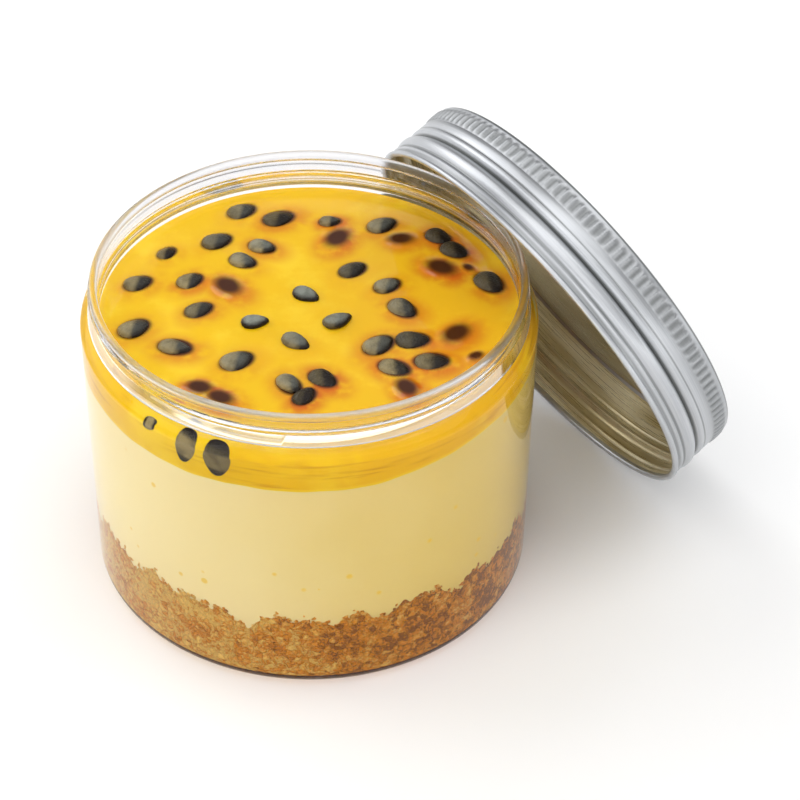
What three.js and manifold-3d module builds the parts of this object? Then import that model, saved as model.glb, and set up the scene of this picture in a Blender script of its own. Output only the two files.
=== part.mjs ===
// A passion fruit cheesecake set in layers in a clear wide-mouthed jar, with the jar's screw lid
// off: the lid stands on its rim on the table and leans on the lip of the jar.
// Millimetres, +Z up. The origin is the middle of the jar's foot, on the table.
import * as THREE from 'three';
import { mergeVertices } from 'three/addons/utils/BufferGeometryUtils.js';
import Module from 'manifold-3d';

const wasm = await Module();
wasm.setup();

// Driving dimensions
const gap = 0.3; // clearance between pieces that touch

const jarHeight = 69.8; // foot to lip
const bodyRadius = 46; // outside, under the shoulder
const footRadius = 45.3; // outside, just above the rounded foot
const bodyWall = 2;
const floorThickness = 2.4;
const footCorner = 3;
const shoulderTop = 61.9; // where the neck rises from the shoulder
const shoulderCorner = 2.6;
const neckRadius = 43.3; // outside, between the threads
const mouthRadius = 42.2; // inside the neck
const lipDepth = 1.6; // height of the rounded lip

const threadTurns = 1.1;
const threadLead = 3.4; // rise in one turn
const threadStart = 63.9; // height of its lower end
const threadDepth = 0.9;
const threadWidth = 1.9;

const biscuitHeight = 18; // mean height of the crumb layer's top
const biscuitCrag = 2.3; // how far its crags rise and dip
const creamTop = 53.3;
const jellyTop = 60.4;
const meniscus = 0.5; // how far the jelly climbs the wall

const seedLength = 5.8;
const seedWidth = 3.9;
const seedThickness = 2.3;

const lidWall = 45.1; // outside radius of the lid's skirt
const lidHeight = 16;
const sheet = 0.5; // thickness of the lid's metal
const rimRing = 44.85; // radius of the middle of the lid's rolled rim
const rimBead = 0.65; // radius of the rolled edge
const beadHeight = 4.4; // the thread bead, over the middle of the rim
const beadRise = 0.35; // how far the bead stands out
const grooveHeight = 6.2; // the deep groove, over the middle of the rim
const grooveDepth = 0.65;
const knurlLow = 11; // the grip band's lower and upper edge, over the middle of the rim
const knurlHigh = 14.2;
const knurlDepth = 0.3;
const knurlCount = 96;
const plateEdge = 1; // rounding between skirt and plate
const panelRadius = 40.5; // the sunk middle of the plate
const panelDepth = 0.3;

const lidLean = 24; // degrees that the open face tips down from upright
const lidFacing = 216.7; // bearing that the open face looks to, degrees from +X towards +Y
const lidBearing = 27.1; // bearing of the rim's middle, seen from the jar's axis
const lidReach = 50.8; // distance of the rim's middle from the jar's axis

// Where the seeds lie on the jelly, x and y, from the back of the jar to the front. The first
// four lie on top, and the others are sunk until only their backs stand out.
const seedSpots = [
  [-11, -4], [-1, 6], [6, -3], [-3, -10],
  [-16, 35], [6, 34], [-7, 32], [3, 31], [14, 29], [4, 26], [18, 25], [26, 26],
  [-20, 23], [-12, 22], [29, 22], [-30, 20], [-15, 17], [26, 16], [32, 15], [8, 14],
  [-35, 8], [-25, 9], [-17, 9], [15, 9], [36, 11], [18, 2], [-23, 0], [-35, -6],
  [29, -7], [14, -10], [21, -9], [-26, -12], [33, -13], [-14, -16], [25, -15],
  [17, -17], [-2, -23], [3, -20], [20, -22], [-19, -24],
];
const seedsOnTop = 4;
const seedRise = 0.45; // height of a top seed's middle over the jelly
const sunkenSeedRise = -0.3;

const jarSegments = 64;
const layerSegments = 84;
const lidSegments = 72;

const random = seededRandom(11);

function seededRandom(seed) {
  let state = seed;
  return () => {
    state = (state * 1664525 + 1013904223) % 4294967296;
    return state / 4294967296;
  };
}

// Points on a quarter round, from one angle to another in degrees
function arc(x, y, radius, from, to, steps) {
  const points = [];
  for (let i = 0; i <= steps; i++) {
    const angle = THREE.MathUtils.degToRad(from + (to - from) * i / steps);
    points.push([x + radius * Math.cos(angle), y + radius * Math.sin(angle)]);
  }
  return points;
}

// A turned piece about Z, from its outline as radius and height
function turned(outline, segments) {
  const points = outline.map(([radius, height]) => new THREE.Vector2(radius, height));
  const geometry = new THREE.LatheGeometry(points, segments);
  return geometry.rotateX(Math.PI / 2);
}

// A closed skin over a row of rings, each with the same number of points
function loft(rings) {
  const count = rings[0].length;
  const middles = [rings[0], rings[rings.length - 1]].map((ring) => ring
    .reduce((sum, point) => sum.add(point), new THREE.Vector3())
    .divideScalar(count));
  const points = [...rings.flat(), ...middles];
  const faces = [];
  for (let j = 0; j < count; j++) {
    const next = (j + 1) % count;
    for (let i = 0; i + 1 < rings.length; i++) {
      const [a, b] = [i * count + j, i * count + next];
      faces.push(a, b, b + count, a, b + count, a + count);
    }
    const last = (rings.length - 1) * count;
    faces.push(points.length - 2, next, j);
    faces.push(points.length - 1, last + j, last + next);
  }
  const geometry = new THREE.BufferGeometry().setFromPoints(points);
  geometry.setIndex(faces);
  return geometry;
}

function toManifold(geometry) {
  const plain = geometry.clone();
  plain.deleteAttribute('normal');
  plain.deleteAttribute('uv');
  const merged = mergeVertices(plain, 1e-4);
  const vertProperties = new Float32Array(merged.attributes.position.array);
  const triVerts = new Uint32Array(merged.index.array);
  return new wasm.Manifold(new wasm.Mesh({ numProp: 3, vertProperties, triVerts }));
}

function toGeometry(solid) {
  const { vertProperties, triVerts } = solid.getMesh();
  const geometry = new THREE.BufferGeometry();
  geometry.setAttribute('position', new THREE.BufferAttribute(vertProperties, 3));
  geometry.setIndex(new THREE.BufferAttribute(triVerts, 1));
  geometry.computeVertexNormals();
  return geometry;
}

function piece(name, solid, look) {
  const mesh = new THREE.Mesh(toGeometry(solid), new THREE.MeshStandardMaterial(look));
  mesh.name = name;
  return mesh;
}

// The radius of the jar's inner wall at a height, in the straight part under the shoulder
function innerWall(height) {
  return THREE.MathUtils.lerp(footRadius, bodyRadius, height / shoulderTop) - bodyWall;
}

// The jar's section: foot, body, shoulder and neck outside, then back down the inside
function jarOutline() {
  const shoulderBase = shoulderTop - shoulderCorner;
  const lip = lipDepth / 2;
  const innerCorner = footCorner - 0.4;
  const innerFoot = innerWall(floorThickness + innerCorner);
  return [
    [0, 0],
    ...arc(footRadius - footCorner, footCorner, footCorner, -90, 0, 4),
    ...arc(bodyRadius - shoulderCorner, shoulderBase, shoulderCorner, 0, 80, 4),
    [neckRadius, shoulderTop + 0.4],
    [neckRadius, jarHeight - lipDepth],
    ...arc(neckRadius - lip + 0.5, jarHeight - lip, lip, 0, 90, 3),
    [mouthRadius + 0.4, jarHeight],
    [mouthRadius, jarHeight - 0.4],
    [mouthRadius, shoulderTop - 0.4],
    [mouthRadius + 1, shoulderTop - 1.6],
    [innerWall(shoulderBase - 1), shoulderBase - 1],
    ...arc(innerFoot - innerCorner, floorThickness + innerCorner, innerCorner, 0, -90, 3),
    [0, floorThickness],
  ];
}

// One single-start thread round the neck, with both ends run out into the wall
function thread() {
  const steps = Math.round(jarSegments * threadTurns);
  const runOut = 5;
  const rings = [];
  for (let i = 0; i <= steps; i++) {
    const turn = (i / steps) * threadTurns;
    const angle = turn * 2 * Math.PI - 2.6;
    const height = threadStart + turn * threadLead;
    const fade = Math.min(1, (i + 0.5) / runOut, (steps - i + 0.5) / runOut);
    const crest = neckRadius + threadDepth * fade;
    const root = neckRadius - 0.5;
    const half = threadWidth / 2;
    const section = [
      [root, half], [crest, half * 0.35], [crest, -half * 0.35], [root, -half],
    ];
    rings.push(section.map(([radius, rise]) => new THREE.Vector3(
      radius * Math.cos(angle), radius * Math.sin(angle), height + rise * fade,
    )));
  }
  return loft(rings);
}

function jar() {
  const shell = toManifold(turned(jarOutline(), jarSegments));
  const look = { color: 0xeef2ee, roughness: 0.05, transparent: true, opacity: 0.25 };
  return piece('jar', shell.add(toManifold(thread())), look);
}

// The uneven height of the crumb layer's top: broad swells, with sharper crags by the wall
function crag(x, y) {
  const angle = Math.atan2(y, x);
  const reach = Math.hypot(x, y) / innerWall(biscuitHeight);
  const swell = 0.3 * Math.sin(5 * angle + 1.1) + 0.25 * Math.sin(11 * angle + 0.4);
  const teeth = 0.4 * Math.sin(19 * angle + 2) + 0.35 * Math.sin(31 * angle + 5);
  return biscuitCrag * reach * (swell + teeth);
}

// Moves the points of a layer that lie near a height up and down with the crags
function roughen(geometry, height) {
  const position = geometry.attributes.position;
  for (let i = 0; i < position.count; i++) {
    if (Math.abs(position.getZ(i) - height) < 0.01) {
      const lift = crag(position.getX(i), position.getY(i));
      position.setZ(i, height + lift);
    }
  }
  return geometry;
}

// Points across the crumb layer's top, from the jar's wall inwards
function cragLine(radius, height) {
  return [1, 0.93, 0.78, 0.4].map((share) => [radius * share, height]);
}

function biscuitBase() {
  const floor = floorThickness + gap;
  const corner = footCorner - 0.6;
  const radius = innerWall(floor + corner) - gap;
  const outline = [
    [0, floor],
    ...arc(radius - corner, floor + corner, corner, -90, 0, 2),
    ...cragLine(radius, biscuitHeight),
    [0, biscuitHeight],
  ];
  const layer = roughen(turned(outline, layerSegments), biscuitHeight);
  return piece('biscuit_base', toManifold(layer), { color: 0xc9943f, roughness: 0.9 });
}

function creamLayer() {
  const bottom = biscuitHeight + gap;
  const radius = innerWall(footCorner + floorThickness) - gap;
  const outline = [
    [0, bottom],
    ...cragLine(radius, bottom).reverse(),
    [innerWall(creamTop) - gap, creamTop],
    [0, creamTop],
  ];
  const layer = roughen(turned(outline, layerSegments), bottom);
  return piece('cream_layer', toManifold(layer), { color: 0xf6eab8, roughness: 0.6 });
}

// A flat drop with one end drawn out, lying along X
function seed() {
  const stations = [[-0.42, 0.55], [0, 1], [0.36, 0.62]];
  const sides = 6;
  const rings = stations.map(([along, size]) => {
    const ring = [];
    for (let j = 0; j < sides; j++) {
      const angle = ((j + 0.5) / sides) * 2 * Math.PI;
      ring.push(new THREE.Vector3(
        along * seedLength,
        Math.cos(angle) * size * seedWidth / 2,
        Math.sin(angle) * size * seedThickness / 2,
      ));
    }
    return ring;
  });
  return loft(rings);
}

// The jelly fills the top of the body up into the shoulder, and seeds break its surface
function passionFruitJelly() {
  const bottom = creamTop + gap;
  const neck = mouthRadius - gap;
  const bend = shoulderTop - shoulderCorner - 1;
  const outline = [
    [0, bottom],
    [innerWall(bottom) - gap, bottom],
    [innerWall(bend) - gap, bend - gap],
    [neck + 0.5, jellyTop - 0.4],
    [neck, jellyTop + meniscus],
    [neck - 1.6, jellyTop],
    [0, jellyTop],
  ];
  let layer = toManifold(turned(outline, layerSegments));
  seedSpots.forEach(([x, y], i) => {
    const rise = i < seedsOnTop ? seedRise : sunkenSeedRise;
    const grain = seed();
    const size = 0.9 + 0.2 * random();
    grain.scale(size, size, 1);
    grain.rotateX((random() - 0.5) * 0.3);
    grain.rotateZ((random() - 0.5) * 1.6);
    grain.translate(x, y, jellyTop + rise);
    layer = layer.add(toManifold(grain));
  });
  return piece('passion_fruit_jelly', layer, { color: 0xf0b51e, roughness: 0.15 });
}

// The lid's section with its plate on top, as radius and height over the middle of the rolled
// rim: under the plate and down the inside, round the rim and up the beads and groove outside
function lidOutline() {
  const plate = lidHeight - rimBead;
  const panel = plate - panelDepth;
  const inside = lidWall - sheet;
  return [
    [0, panel - sheet],
    [inside - plateEdge, plate - sheet],
    [inside, plate - sheet - plateEdge],
    [inside, grooveHeight + 1.1],
    [inside - grooveDepth, grooveHeight],
    [inside + beadRise, beadHeight],
    [inside, 1.2],
    ...arc(rimRing, 0, rimBead, 180, 400, 4),
    [lidWall - 0.2, 1.1],
    [lidWall, beadHeight - 1.6],
    [lidWall + beadRise, beadHeight],
    [lidWall + beadRise * 0.6, beadHeight + 0.9],
    [lidWall - grooveDepth, grooveHeight],
    [lidWall + 0.1, grooveHeight + 1],
    [lidWall, knurlLow - 0.4],
    [lidWall - 0.1, plate - plateEdge],
    [lidWall - 0.1 - plateEdge, plate],
    [panelRadius + 0.8, plate],
    [panelRadius, panel],
    [0, panel],
  ];
}

// A band of short upright ridges near the top of the lid, for grip: every other point stands out
function knurledBand() {
  const root = lidWall - 0.1;
  const buried = lidWall - sheet + 0.1;
  const corners = [[buried, knurlLow], [root, knurlLow], [root, knurlHigh], [buried, knurlHigh]];
  const ring = turned([...corners, corners[0]], knurlCount * 2);
  const position = ring.attributes.position;
  for (let i = 0; i < position.count; i++) {
    const [x, y] = [position.getX(i), position.getY(i)];
    const radius = Math.hypot(x, y);
    const step = Math.round(Math.atan2(y, x) / Math.PI * knurlCount);
    if (radius > (buried + root) / 2 && step % 2 === 0) {
      const grown = (radius + knurlDepth) / radius;
      position.setXY(i, x * grown, y * grown);
    }
  }
  return ring;
}

// Turns the lid's section over to open along the leaning direction, and stands it on its rim
function lid() {
  const shell = toManifold(turned(lidOutline(), lidSegments));
  const solid = shell.add(toManifold(knurledBand()));
  const mesh = piece('lid', solid, { color: 0xc8cacc, roughness: 0.35, metalness: 1 });
  const lean = THREE.MathUtils.degToRad(lidLean);
  const facing = THREE.MathUtils.degToRad(lidFacing);
  const bearing = THREE.MathUtils.degToRad(lidBearing);
  const top = new THREE.Vector3(
    -Math.cos(facing) * Math.cos(lean), -Math.sin(facing) * Math.cos(lean), Math.sin(lean),
  );
  mesh.quaternion.setFromUnitVectors(new THREE.Vector3(0, 0, 1), top);
  mesh.position.set(
    lidReach * Math.cos(bearing),
    lidReach * Math.sin(bearing),
    rimRing * Math.cos(lean) + rimBead,
  );
  return mesh;
}

const cheesecake = new THREE.Group();
cheesecake.add(jar(), biscuitBase(), creamLayer(), passionFruitJelly(), lid());

export default cheesecake;
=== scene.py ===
# A passion fruit cheesecake set in layers in a clear screw jar, with the jar's lid off and leaning
# on its lip. Metres, +Z up, and the origin is the middle of the jar's foot, on the table.
import math
import random

import bpy
import numpy as np
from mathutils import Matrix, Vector, noise


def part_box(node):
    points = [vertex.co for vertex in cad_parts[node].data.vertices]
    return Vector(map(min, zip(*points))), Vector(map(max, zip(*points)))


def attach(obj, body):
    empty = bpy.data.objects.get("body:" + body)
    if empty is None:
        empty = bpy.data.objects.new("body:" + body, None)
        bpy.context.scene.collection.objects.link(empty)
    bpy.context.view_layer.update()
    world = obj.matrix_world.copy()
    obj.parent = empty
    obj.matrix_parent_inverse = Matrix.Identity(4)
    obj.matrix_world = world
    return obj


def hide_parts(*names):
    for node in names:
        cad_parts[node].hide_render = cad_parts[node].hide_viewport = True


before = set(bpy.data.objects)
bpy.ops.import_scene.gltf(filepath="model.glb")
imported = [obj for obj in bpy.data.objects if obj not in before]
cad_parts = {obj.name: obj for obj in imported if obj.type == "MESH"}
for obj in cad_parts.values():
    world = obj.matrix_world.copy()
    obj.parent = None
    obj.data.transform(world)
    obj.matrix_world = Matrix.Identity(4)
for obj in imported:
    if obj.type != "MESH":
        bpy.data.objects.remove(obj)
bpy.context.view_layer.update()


# ---- The jar ----
# A low jar of clear moulded plastic, turned in one wall of even thickness: a rounded foot, a soft
# shoulder, a collar, and an open neck with a rounded lip and the raised thread for the lid.
mm = 0.001
jar_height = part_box("jar")[1].z
body_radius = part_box("jar")[1].x
foot_radius = body_radius - 0.7 * mm
wall = 2 * mm
floor_thickness = 1.1 * mm
foot_corner = 3 * mm
inner_corner = foot_corner - 0.4 * mm
shoulder_top = 61.9 * mm
shoulder_base = shoulder_top - 1.95 * mm
shoulder_corner = mm
inner_step_low = shoulder_top - 3.6 * mm
inner_step_high = shoulder_top - 0.4 * mm
ledge_round = 12 * mm
ledge_turn = (57, 67)
collar_low, collar_high = 62.9 * mm, 65.1 * mm
collar_out = 1.05 * mm
collar_corner = 0.3 * mm
neck_radius = 43.3 * mm
neck_root = neck_radius + 0.25 * mm
mouth_radius = 42.2 * mm
mouth_corner = 0.5 * mm
lip = 0.8 * mm
lip_stand_out = 0.5 * mm
straight_low, straight_high = 8 * mm, 55 * mm
jar_steps = 288
same_point = 0.002 * mm
least_weight = 0.002

thread_start_angle = -2.6
thread_start = 65.7 * mm
thread_turns = 1.1
thread_lead = 2 * mm
thread_depth = 0.8 * mm
thread_width = 1.6 * mm
thread_run_out = 0.12


def shade(red, green, blue):
    """A colour as a screen shows it, 0 to 255, for a shader."""
    values = [c / 255 for c in (red, green, blue)]
    return (*[v / 12.92 if v < 0.04 else ((v + 0.055) / 1.055) ** 2.4 for v in values], 1)


plastic_clear = shade(252, 253, 252)
plastic_thick = shade(243, 243, 245)
plastic_gleam = (0.2, 0.2, 0.2, 1)
plastic_ripple = 0.08 * mm
neck_frost = 0.04
lip_frost = 0.25
foot_frost = 0.6
collar_ior = 4.0
shade_kept = 0.9


def arc(x, z, radius, start, end, steps):
    """Points on part of a round, from one angle to another in degrees."""
    turns = [math.radians(start + (end - start) * i / steps) for i in range(steps + 1)]
    return [(x + radius * math.cos(turn), z + radius * math.sin(turn)) for turn in turns]


def line(start, end, steps):
    """Points in even steps from one point of a section to another, both ends included."""
    return [
        tuple(a + (b - a) * i / steps for a, b in zip(start, end)) for i in range(steps + 1)
    ]


def ease(share):
    """0 to 1 with soft ends."""
    share = np.clip(share, 0, 1)
    return share * share * (3 - 2 * share)


def inner_wall(height):
    """The radius of the jar's inner wall at a height, up to the shoulder."""
    return foot_radius + (body_radius - foot_radius) * height / shoulder_top - wall


def inner_shoulder(steps):
    """The inner wall's soft step from the body up to the neck."""
    low_radius = inner_wall(inner_step_low)
    points = []
    for i in range(steps + 1):
        share = i / steps
        radius = low_radius + (mouth_radius - low_radius) * float(ease(share))
        points.append((radius, inner_step_low + (inner_step_high - inner_step_low) * share))
    return points


def spun(name, outline, steps):
    """A section drawn point by point as a line, then turned round the Z axis into a closed skin."""
    bpy.ops.object.select_all(action="DESELECT")
    bpy.ops.mesh.primitive_plane_add(size=mm, location=(outline[0][0], 0, outline[0][1]))
    piece = bpy.context.object
    piece.name = piece.data.name = name
    bpy.ops.object.transform_apply(location=True, rotation=False, scale=False)
    bpy.ops.object.mode_set(mode="EDIT")
    bpy.ops.mesh.merge(type="CENTER")
    for (radius, height), (next_radius, next_height) in zip(outline, outline[1:]):
        step = (next_radius - radius, 0, next_height - height)
        bpy.ops.mesh.extrude_vertices_move(TRANSFORM_OT_translate={"value": step})
    bpy.ops.object.mode_set(mode="OBJECT")
    turning = piece.modifiers.new("turning", "SCREW")
    turning.angle, turning.axis = math.tau, "Z"
    turning.steps = turning.render_steps = steps
    bpy.ops.object.modifier_apply(modifier="turning")
    bpy.ops.object.mode_set(mode="EDIT")
    bpy.ops.mesh.select_all(action="SELECT")
    bpy.ops.mesh.remove_doubles(threshold=same_point)
    bpy.ops.mesh.normals_make_consistent(inside=False)
    bpy.ops.object.mode_set(mode="OBJECT")
    return piece


def places(piece):
    """Every point of a mesh as rows of x, y and z."""
    points = np.empty(len(piece.data.vertices) * 3, np.float32)
    piece.data.vertices.foreach_get("co", points)
    return points.reshape(-1, 3).astype(float)


def put_places(piece, points):
    """Moves every point of a mesh to its row of x, y and z."""
    piece.data.vertices.foreach_set("co", points.astype(np.float32).ravel())
    piece.data.update()


def push_out(piece, name, weights, depth):
    """Raises a relief along the normals, as deep at each point as its weight says."""
    group = piece.vertex_groups.new(name=name)
    for index in np.flatnonzero(weights > least_weight):
        group.add([int(index)], float(weights[index]), "REPLACE")
    relief = piece.modifiers.new(name, "DISPLACE")
    relief.vertex_group = name
    relief.mid_level = 0
    relief.strength = depth
    bpy.context.view_layer.objects.active = piece
    bpy.ops.object.modifier_apply(modifier=name)
    piece.vertex_groups.clear()


def smooth(piece, angle):
    """Soft shading, broken where faces meet at more than the angle in degrees."""
    bpy.ops.object.select_all(action="DESELECT")
    piece.select_set(True)
    bpy.context.view_layer.objects.active = piece
    bpy.ops.object.shade_smooth_by_angle(angle=math.radians(angle))


def jar_outline():
    """The jar's section, from the middle of its foot up the outside and down the inside."""
    ledge_start = math.radians(ledge_turn[0])
    ledge_reach = ledge_round - shoulder_corner
    ledge_x = body_radius - shoulder_corner - ledge_reach * math.cos(ledge_start)
    ledge_z = shoulder_base - ledge_reach * math.sin(ledge_start)
    inner_foot = inner_wall(floor_thickness + inner_corner)
    neck_high = jar_height - 2 * lip
    lip_middle = neck_radius - lip + lip_stand_out
    return [
        (0, 0),
        (foot_radius * 0.5, 0),
        *arc(foot_radius - foot_corner, foot_corner, foot_corner, -90, 0, 10),
        *line((foot_radius, foot_corner), (body_radius, shoulder_base), 4)[1:-1],
        *arc(body_radius - shoulder_corner, shoulder_base, shoulder_corner, 0, ledge_turn[0], 8),
        *arc(ledge_x, ledge_z, ledge_round, *ledge_turn, 5)[1:],
        (neck_root, shoulder_top + 0.1 * mm),
        (neck_root, collar_low - collar_corner),
        *arc(neck_radius + collar_out - collar_corner, collar_low, collar_corner, -90, 23, 5),
        (neck_radius + 0.16 * mm, collar_high - 0.08 * mm),
        *line((neck_radius, collar_high), (neck_radius, neck_high), 30),
        *arc(lip_middle, jar_height - lip, lip, -50, 90, 9),
        *arc(mouth_radius + mouth_corner, jar_height - mouth_corner, mouth_corner, 90, 180, 4),
        *line((mouth_radius, jar_height - mm), (mouth_radius, shoulder_top), 4),
        *reversed(inner_shoulder(10)),
        *line((inner_wall(straight_high), straight_high),
              (inner_wall(straight_low), straight_low), 4),
        *arc(inner_foot - inner_corner, floor_thickness + inner_corner, inner_corner, 0, -90, 8),
        (inner_foot * 0.5, floor_thickness),
        (0, floor_thickness),
    ]


def thread_weights(points):
    """How high the thread stands at each point of the neck, from 0 to 1."""
    x, y, z = points.T
    on_neck = np.abs(np.hypot(x, y) - neck_radius) < 0.05 * mm
    first = np.mod(np.arctan2(y, x) - thread_start_angle, math.tau) / math.tau
    weights = np.zeros(len(points))
    for turn in (first, first + 1):
        away = np.abs(z - thread_start - turn * thread_lead) / (thread_width / 2)
        ends = ease(turn / thread_run_out) * ease((thread_turns - turn) / thread_run_out)
        weights = np.maximum(weights, ease(1.15 - away) * ends)
    return weights * on_neck


def plug(tree, socket, value):
    """Wires a value that comes from another node to a socket, or sets a plain one on it."""
    if isinstance(value, bpy.types.NodeSocket):
        tree.links.new(value, socket)
    else:
        socket.default_value = value


def node(tree, kind, inputs, **settings):
    """Adds a node with its settings, and sets its inputs or wires them to other nodes."""
    made = tree.nodes.new("ShaderNode" + kind)
    for name, value in settings.items():
        setattr(made, name, value)
    for name, value in inputs.items():
        plug(tree, made.inputs[name], value)
    return made


def maths(tree, operation, *values):
    return node(tree, "Math", dict(enumerate(values)), operation=operation).outputs[0]


def between(tree, share, low, high, way="MIX"):
    """A colour between two, or the second laid over the first in another way."""
    inputs = {0: share, 6: low, 7: high}
    return node(tree, "Mix", inputs, data_type="RGBA", blend_type=way).outputs[2]


def spread(tree, value, low, high, to_low=0.0, to_high=1.0):
    """Stretches the part of a value that lies between two bounds."""
    inputs = {"Value": value, 1: low, 2: high, 3: to_low, 4: to_high}
    return node(tree, "MapRange", inputs, interpolation_type="SMOOTHSTEP").outputs[0]


def object_place(tree):
    return node(tree, "TexCoord", {}).outputs["Object"]


def parts_of(tree, vector):
    """The x, y and z of a vector."""
    return node(tree, "SeparateXYZ", {0: vector}).outputs


def stretched(tree, vector, scale):
    """A place drawn out by a scale along x, y and z, for a pattern that runs one way."""
    return node(tree, "Mapping", {"Vector": vector, "Scale": scale}).outputs[0]


def grain(tree, vector, scale, detail=3.0, roughness=0.5):
    inputs = {"Vector": vector, "Scale": scale, "Detail": detail, "Roughness": roughness}
    return node(tree, "TexNoise", inputs).outputs[0]


def raised(tree, height, depth):
    """A bump of a real depth from a height of 0 to 1."""
    return node(tree, "Bump", {"Strength": 1.0, "Distance": depth, "Height": height}).outputs[0]


def finish_of(name, base, roughness, **inputs):
    """A material with its shader set, and the tree that holds it."""
    material = bpy.data.materials.new(name)
    material.use_nodes = True
    tree = material.node_tree
    shader = tree.nodes["Principled BSDF"]
    plug(tree, shader.inputs["Base Color"], base)
    plug(tree, shader.inputs["Roughness"], roughness)
    for key, value in inputs.items():
        plug(tree, shader.inputs[key.replace("_", " ")], value)
    return material, tree, shader


def handling_group():
    """Faint rubs and finger haze that handled plastic and metal take on: a mask from 0 to 1."""
    group = bpy.data.node_groups.new("handling_marks", "ShaderNodeTree")
    group.interface.new_socket("Vector", in_out="INPUT", socket_type="NodeSocketVector")
    group.interface.new_socket("Size", in_out="INPUT", socket_type="NodeSocketFloat")
    group.interface.new_socket("Marks", in_out="OUTPUT", socket_type="NodeSocketFloat")
    start, end = group.nodes.new("NodeGroupInput"), group.nodes.new("NodeGroupOutput")
    haze = grain(group, start.outputs["Vector"], start.outputs["Size"], 4.0, 0.65)
    fine = grain(group, start.outputs["Vector"], 2600.0, 2.0)
    mask = maths(group, "MULTIPLY", spread(group, haze, 0.4, 0.7), fine)
    group.links.new(mask, end.inputs["Marks"])
    return group


handling = handling_group()


def marks(tree, vector, size):
    """The mask of handling marks, with haze of a size of pattern."""
    made = node(tree, "Group", {}, node_tree=handling)
    plug(tree, made.inputs["Vector"], vector)
    plug(tree, made.inputs["Size"], size)
    return made.outputs["Marks"]


def clear_plastic():
    material, tree, shader = finish_of(
        "clear_plastic", plastic_clear, 0.03, IOR=1.5, Transmission_Weight=1.0
    )
    place = object_place(tree)
    up = parts_of(tree, place)[2]
    thick = spread(tree, up, shoulder_top - 1.5 * mm, shoulder_top + mm)
    plug(tree, shader.inputs["Base Color"], between(tree, thick, plastic_clear, plastic_thick))
    haze = spread(tree, marks(tree, place, 60.0), 0.0, 0.8, 0.02, 0.08)
    at_neck = spread(tree, up, collar_high, collar_high + 0.6 * mm, 0.0, neck_frost)
    at_lip = spread(tree, up, jar_height - 1.8 * mm, jar_height - 1.2 * mm, 0.0, lip_frost)
    at_foot = spread(tree, up, 0.5 * mm, 2.4 * mm, foot_frost, 0.0)
    rough = maths(tree, "ADD", haze, maths(tree, "ADD", at_neck, at_lip))
    rough = maths(tree, "ADD", rough, at_foot)
    plug(tree, shader.inputs["Roughness"], rough)
    ripple = grain(tree, place, 45.0, 1.0)
    plug(tree, shader.inputs["Normal"], raised(tree, ripple, plastic_ripple))
    plug(tree, shader.inputs["Specular Tint"], plastic_gleam)
    collar = spread(tree, up, collar_low - collar_corner, collar_low - 0.1 * mm)
    above = spread(tree, up, collar_high, collar_high + 0.3 * mm, 0.0, 0.94)
    plug(tree, shader.inputs["Coat Weight"], maths(tree, "SUBTRACT", collar, above))
    plug(tree, shader.inputs["Coat IOR"], collar_ior)
    plug(tree, shader.inputs["Coat Roughness"], 0.04)
    shadow = node(tree, "LightPath", {}).outputs["Is Shadow Ray"]
    see_through = maths(tree, "MULTIPLY_ADD", shadow, -shade_kept, 1.0)
    plug(tree, shader.inputs["Alpha"], see_through)
    return material


jar = spun("clear_jar", jar_outline(), jar_steps)
push_out(jar, "thread", thread_weights(places(jar)), thread_depth)
smooth(jar, 40)
jar.data.materials.append(clear_plastic())
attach(jar, "root")
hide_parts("jar")


# ---- The crumb base ----
# Crushed golden biscuit pressed into the foot of the jar. Its top edge is craggy where it meets
# the cream, and it fills the jar to the wall, so it reaches just into it.
into_wall = 0.14 * mm
crumb_top = 17.2 * mm
crag_height = 2.3 * mm
layer_steps = 720
crumb_dark = shade(166, 104, 42)
crumb_gold = shade(236, 152, 44)
crumb_pale = shade(255, 208, 108)
crumb_cells = 860.0
crumb_fines = 2300.0
crumb_swirls = 420.0
crumb_clumps = 150.0
crumb_bend = 2.6 * mm
crumb_relief = 0.38 * mm


def crag(x, y):
    """How far the crumb layer's top lies over or under its mean height, most by the wall."""
    angle = np.arctan2(y, x)
    reach = np.hypot(x, y) / inner_wall(crumb_top)
    swell = 0.3 * np.sin(5 * angle + 1.1) + 0.25 * np.sin(11 * angle + 0.4)
    teeth = 0.4 * np.sin(19 * angle + 2) + 0.35 * np.sin(31 * angle + 5)
    chips = 0.16 * np.sin(67 * angle + 1) + 0.12 * np.sin(109 * angle + 3)
    return crag_height * reach * (swell + teeth + chips)


def lift_by(piece, height, rise):
    """Moves the points that lie at a height up and down, by a rule of x and y."""
    points = places(piece)
    level = np.abs(points[:, 2] - height) < 0.02 * mm
    points[level, 2] += rise(points[level, 0], points[level, 1])
    put_places(piece, points)


def crumb_outline():
    floor = floor_thickness - into_wall
    radius = inner_wall(floor + inner_corner) + into_wall
    edge = inner_wall(crumb_top) + into_wall
    return [
        (0, floor),
        *arc(radius - inner_corner, floor + inner_corner, inner_corner, -90, 0, 6),
        *line((radius, floor + inner_corner), (edge, crumb_top), 3)[1:-1],
        *[(edge * share, crumb_top) for share in (1, 0.93, 0.78, 0.4, 0)],
    ]


def cells(tree, vector, scale, **settings):
    return node(tree, "TexVoronoi", {"Vector": vector, "Scale": scale}, **settings).outputs


def tones(tree, colour):
    """A cell's own colour as separate values from 0 to 1, alike all over the cell."""
    return node(tree, "SeparateColor", {"Color": colour}).outputs


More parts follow.
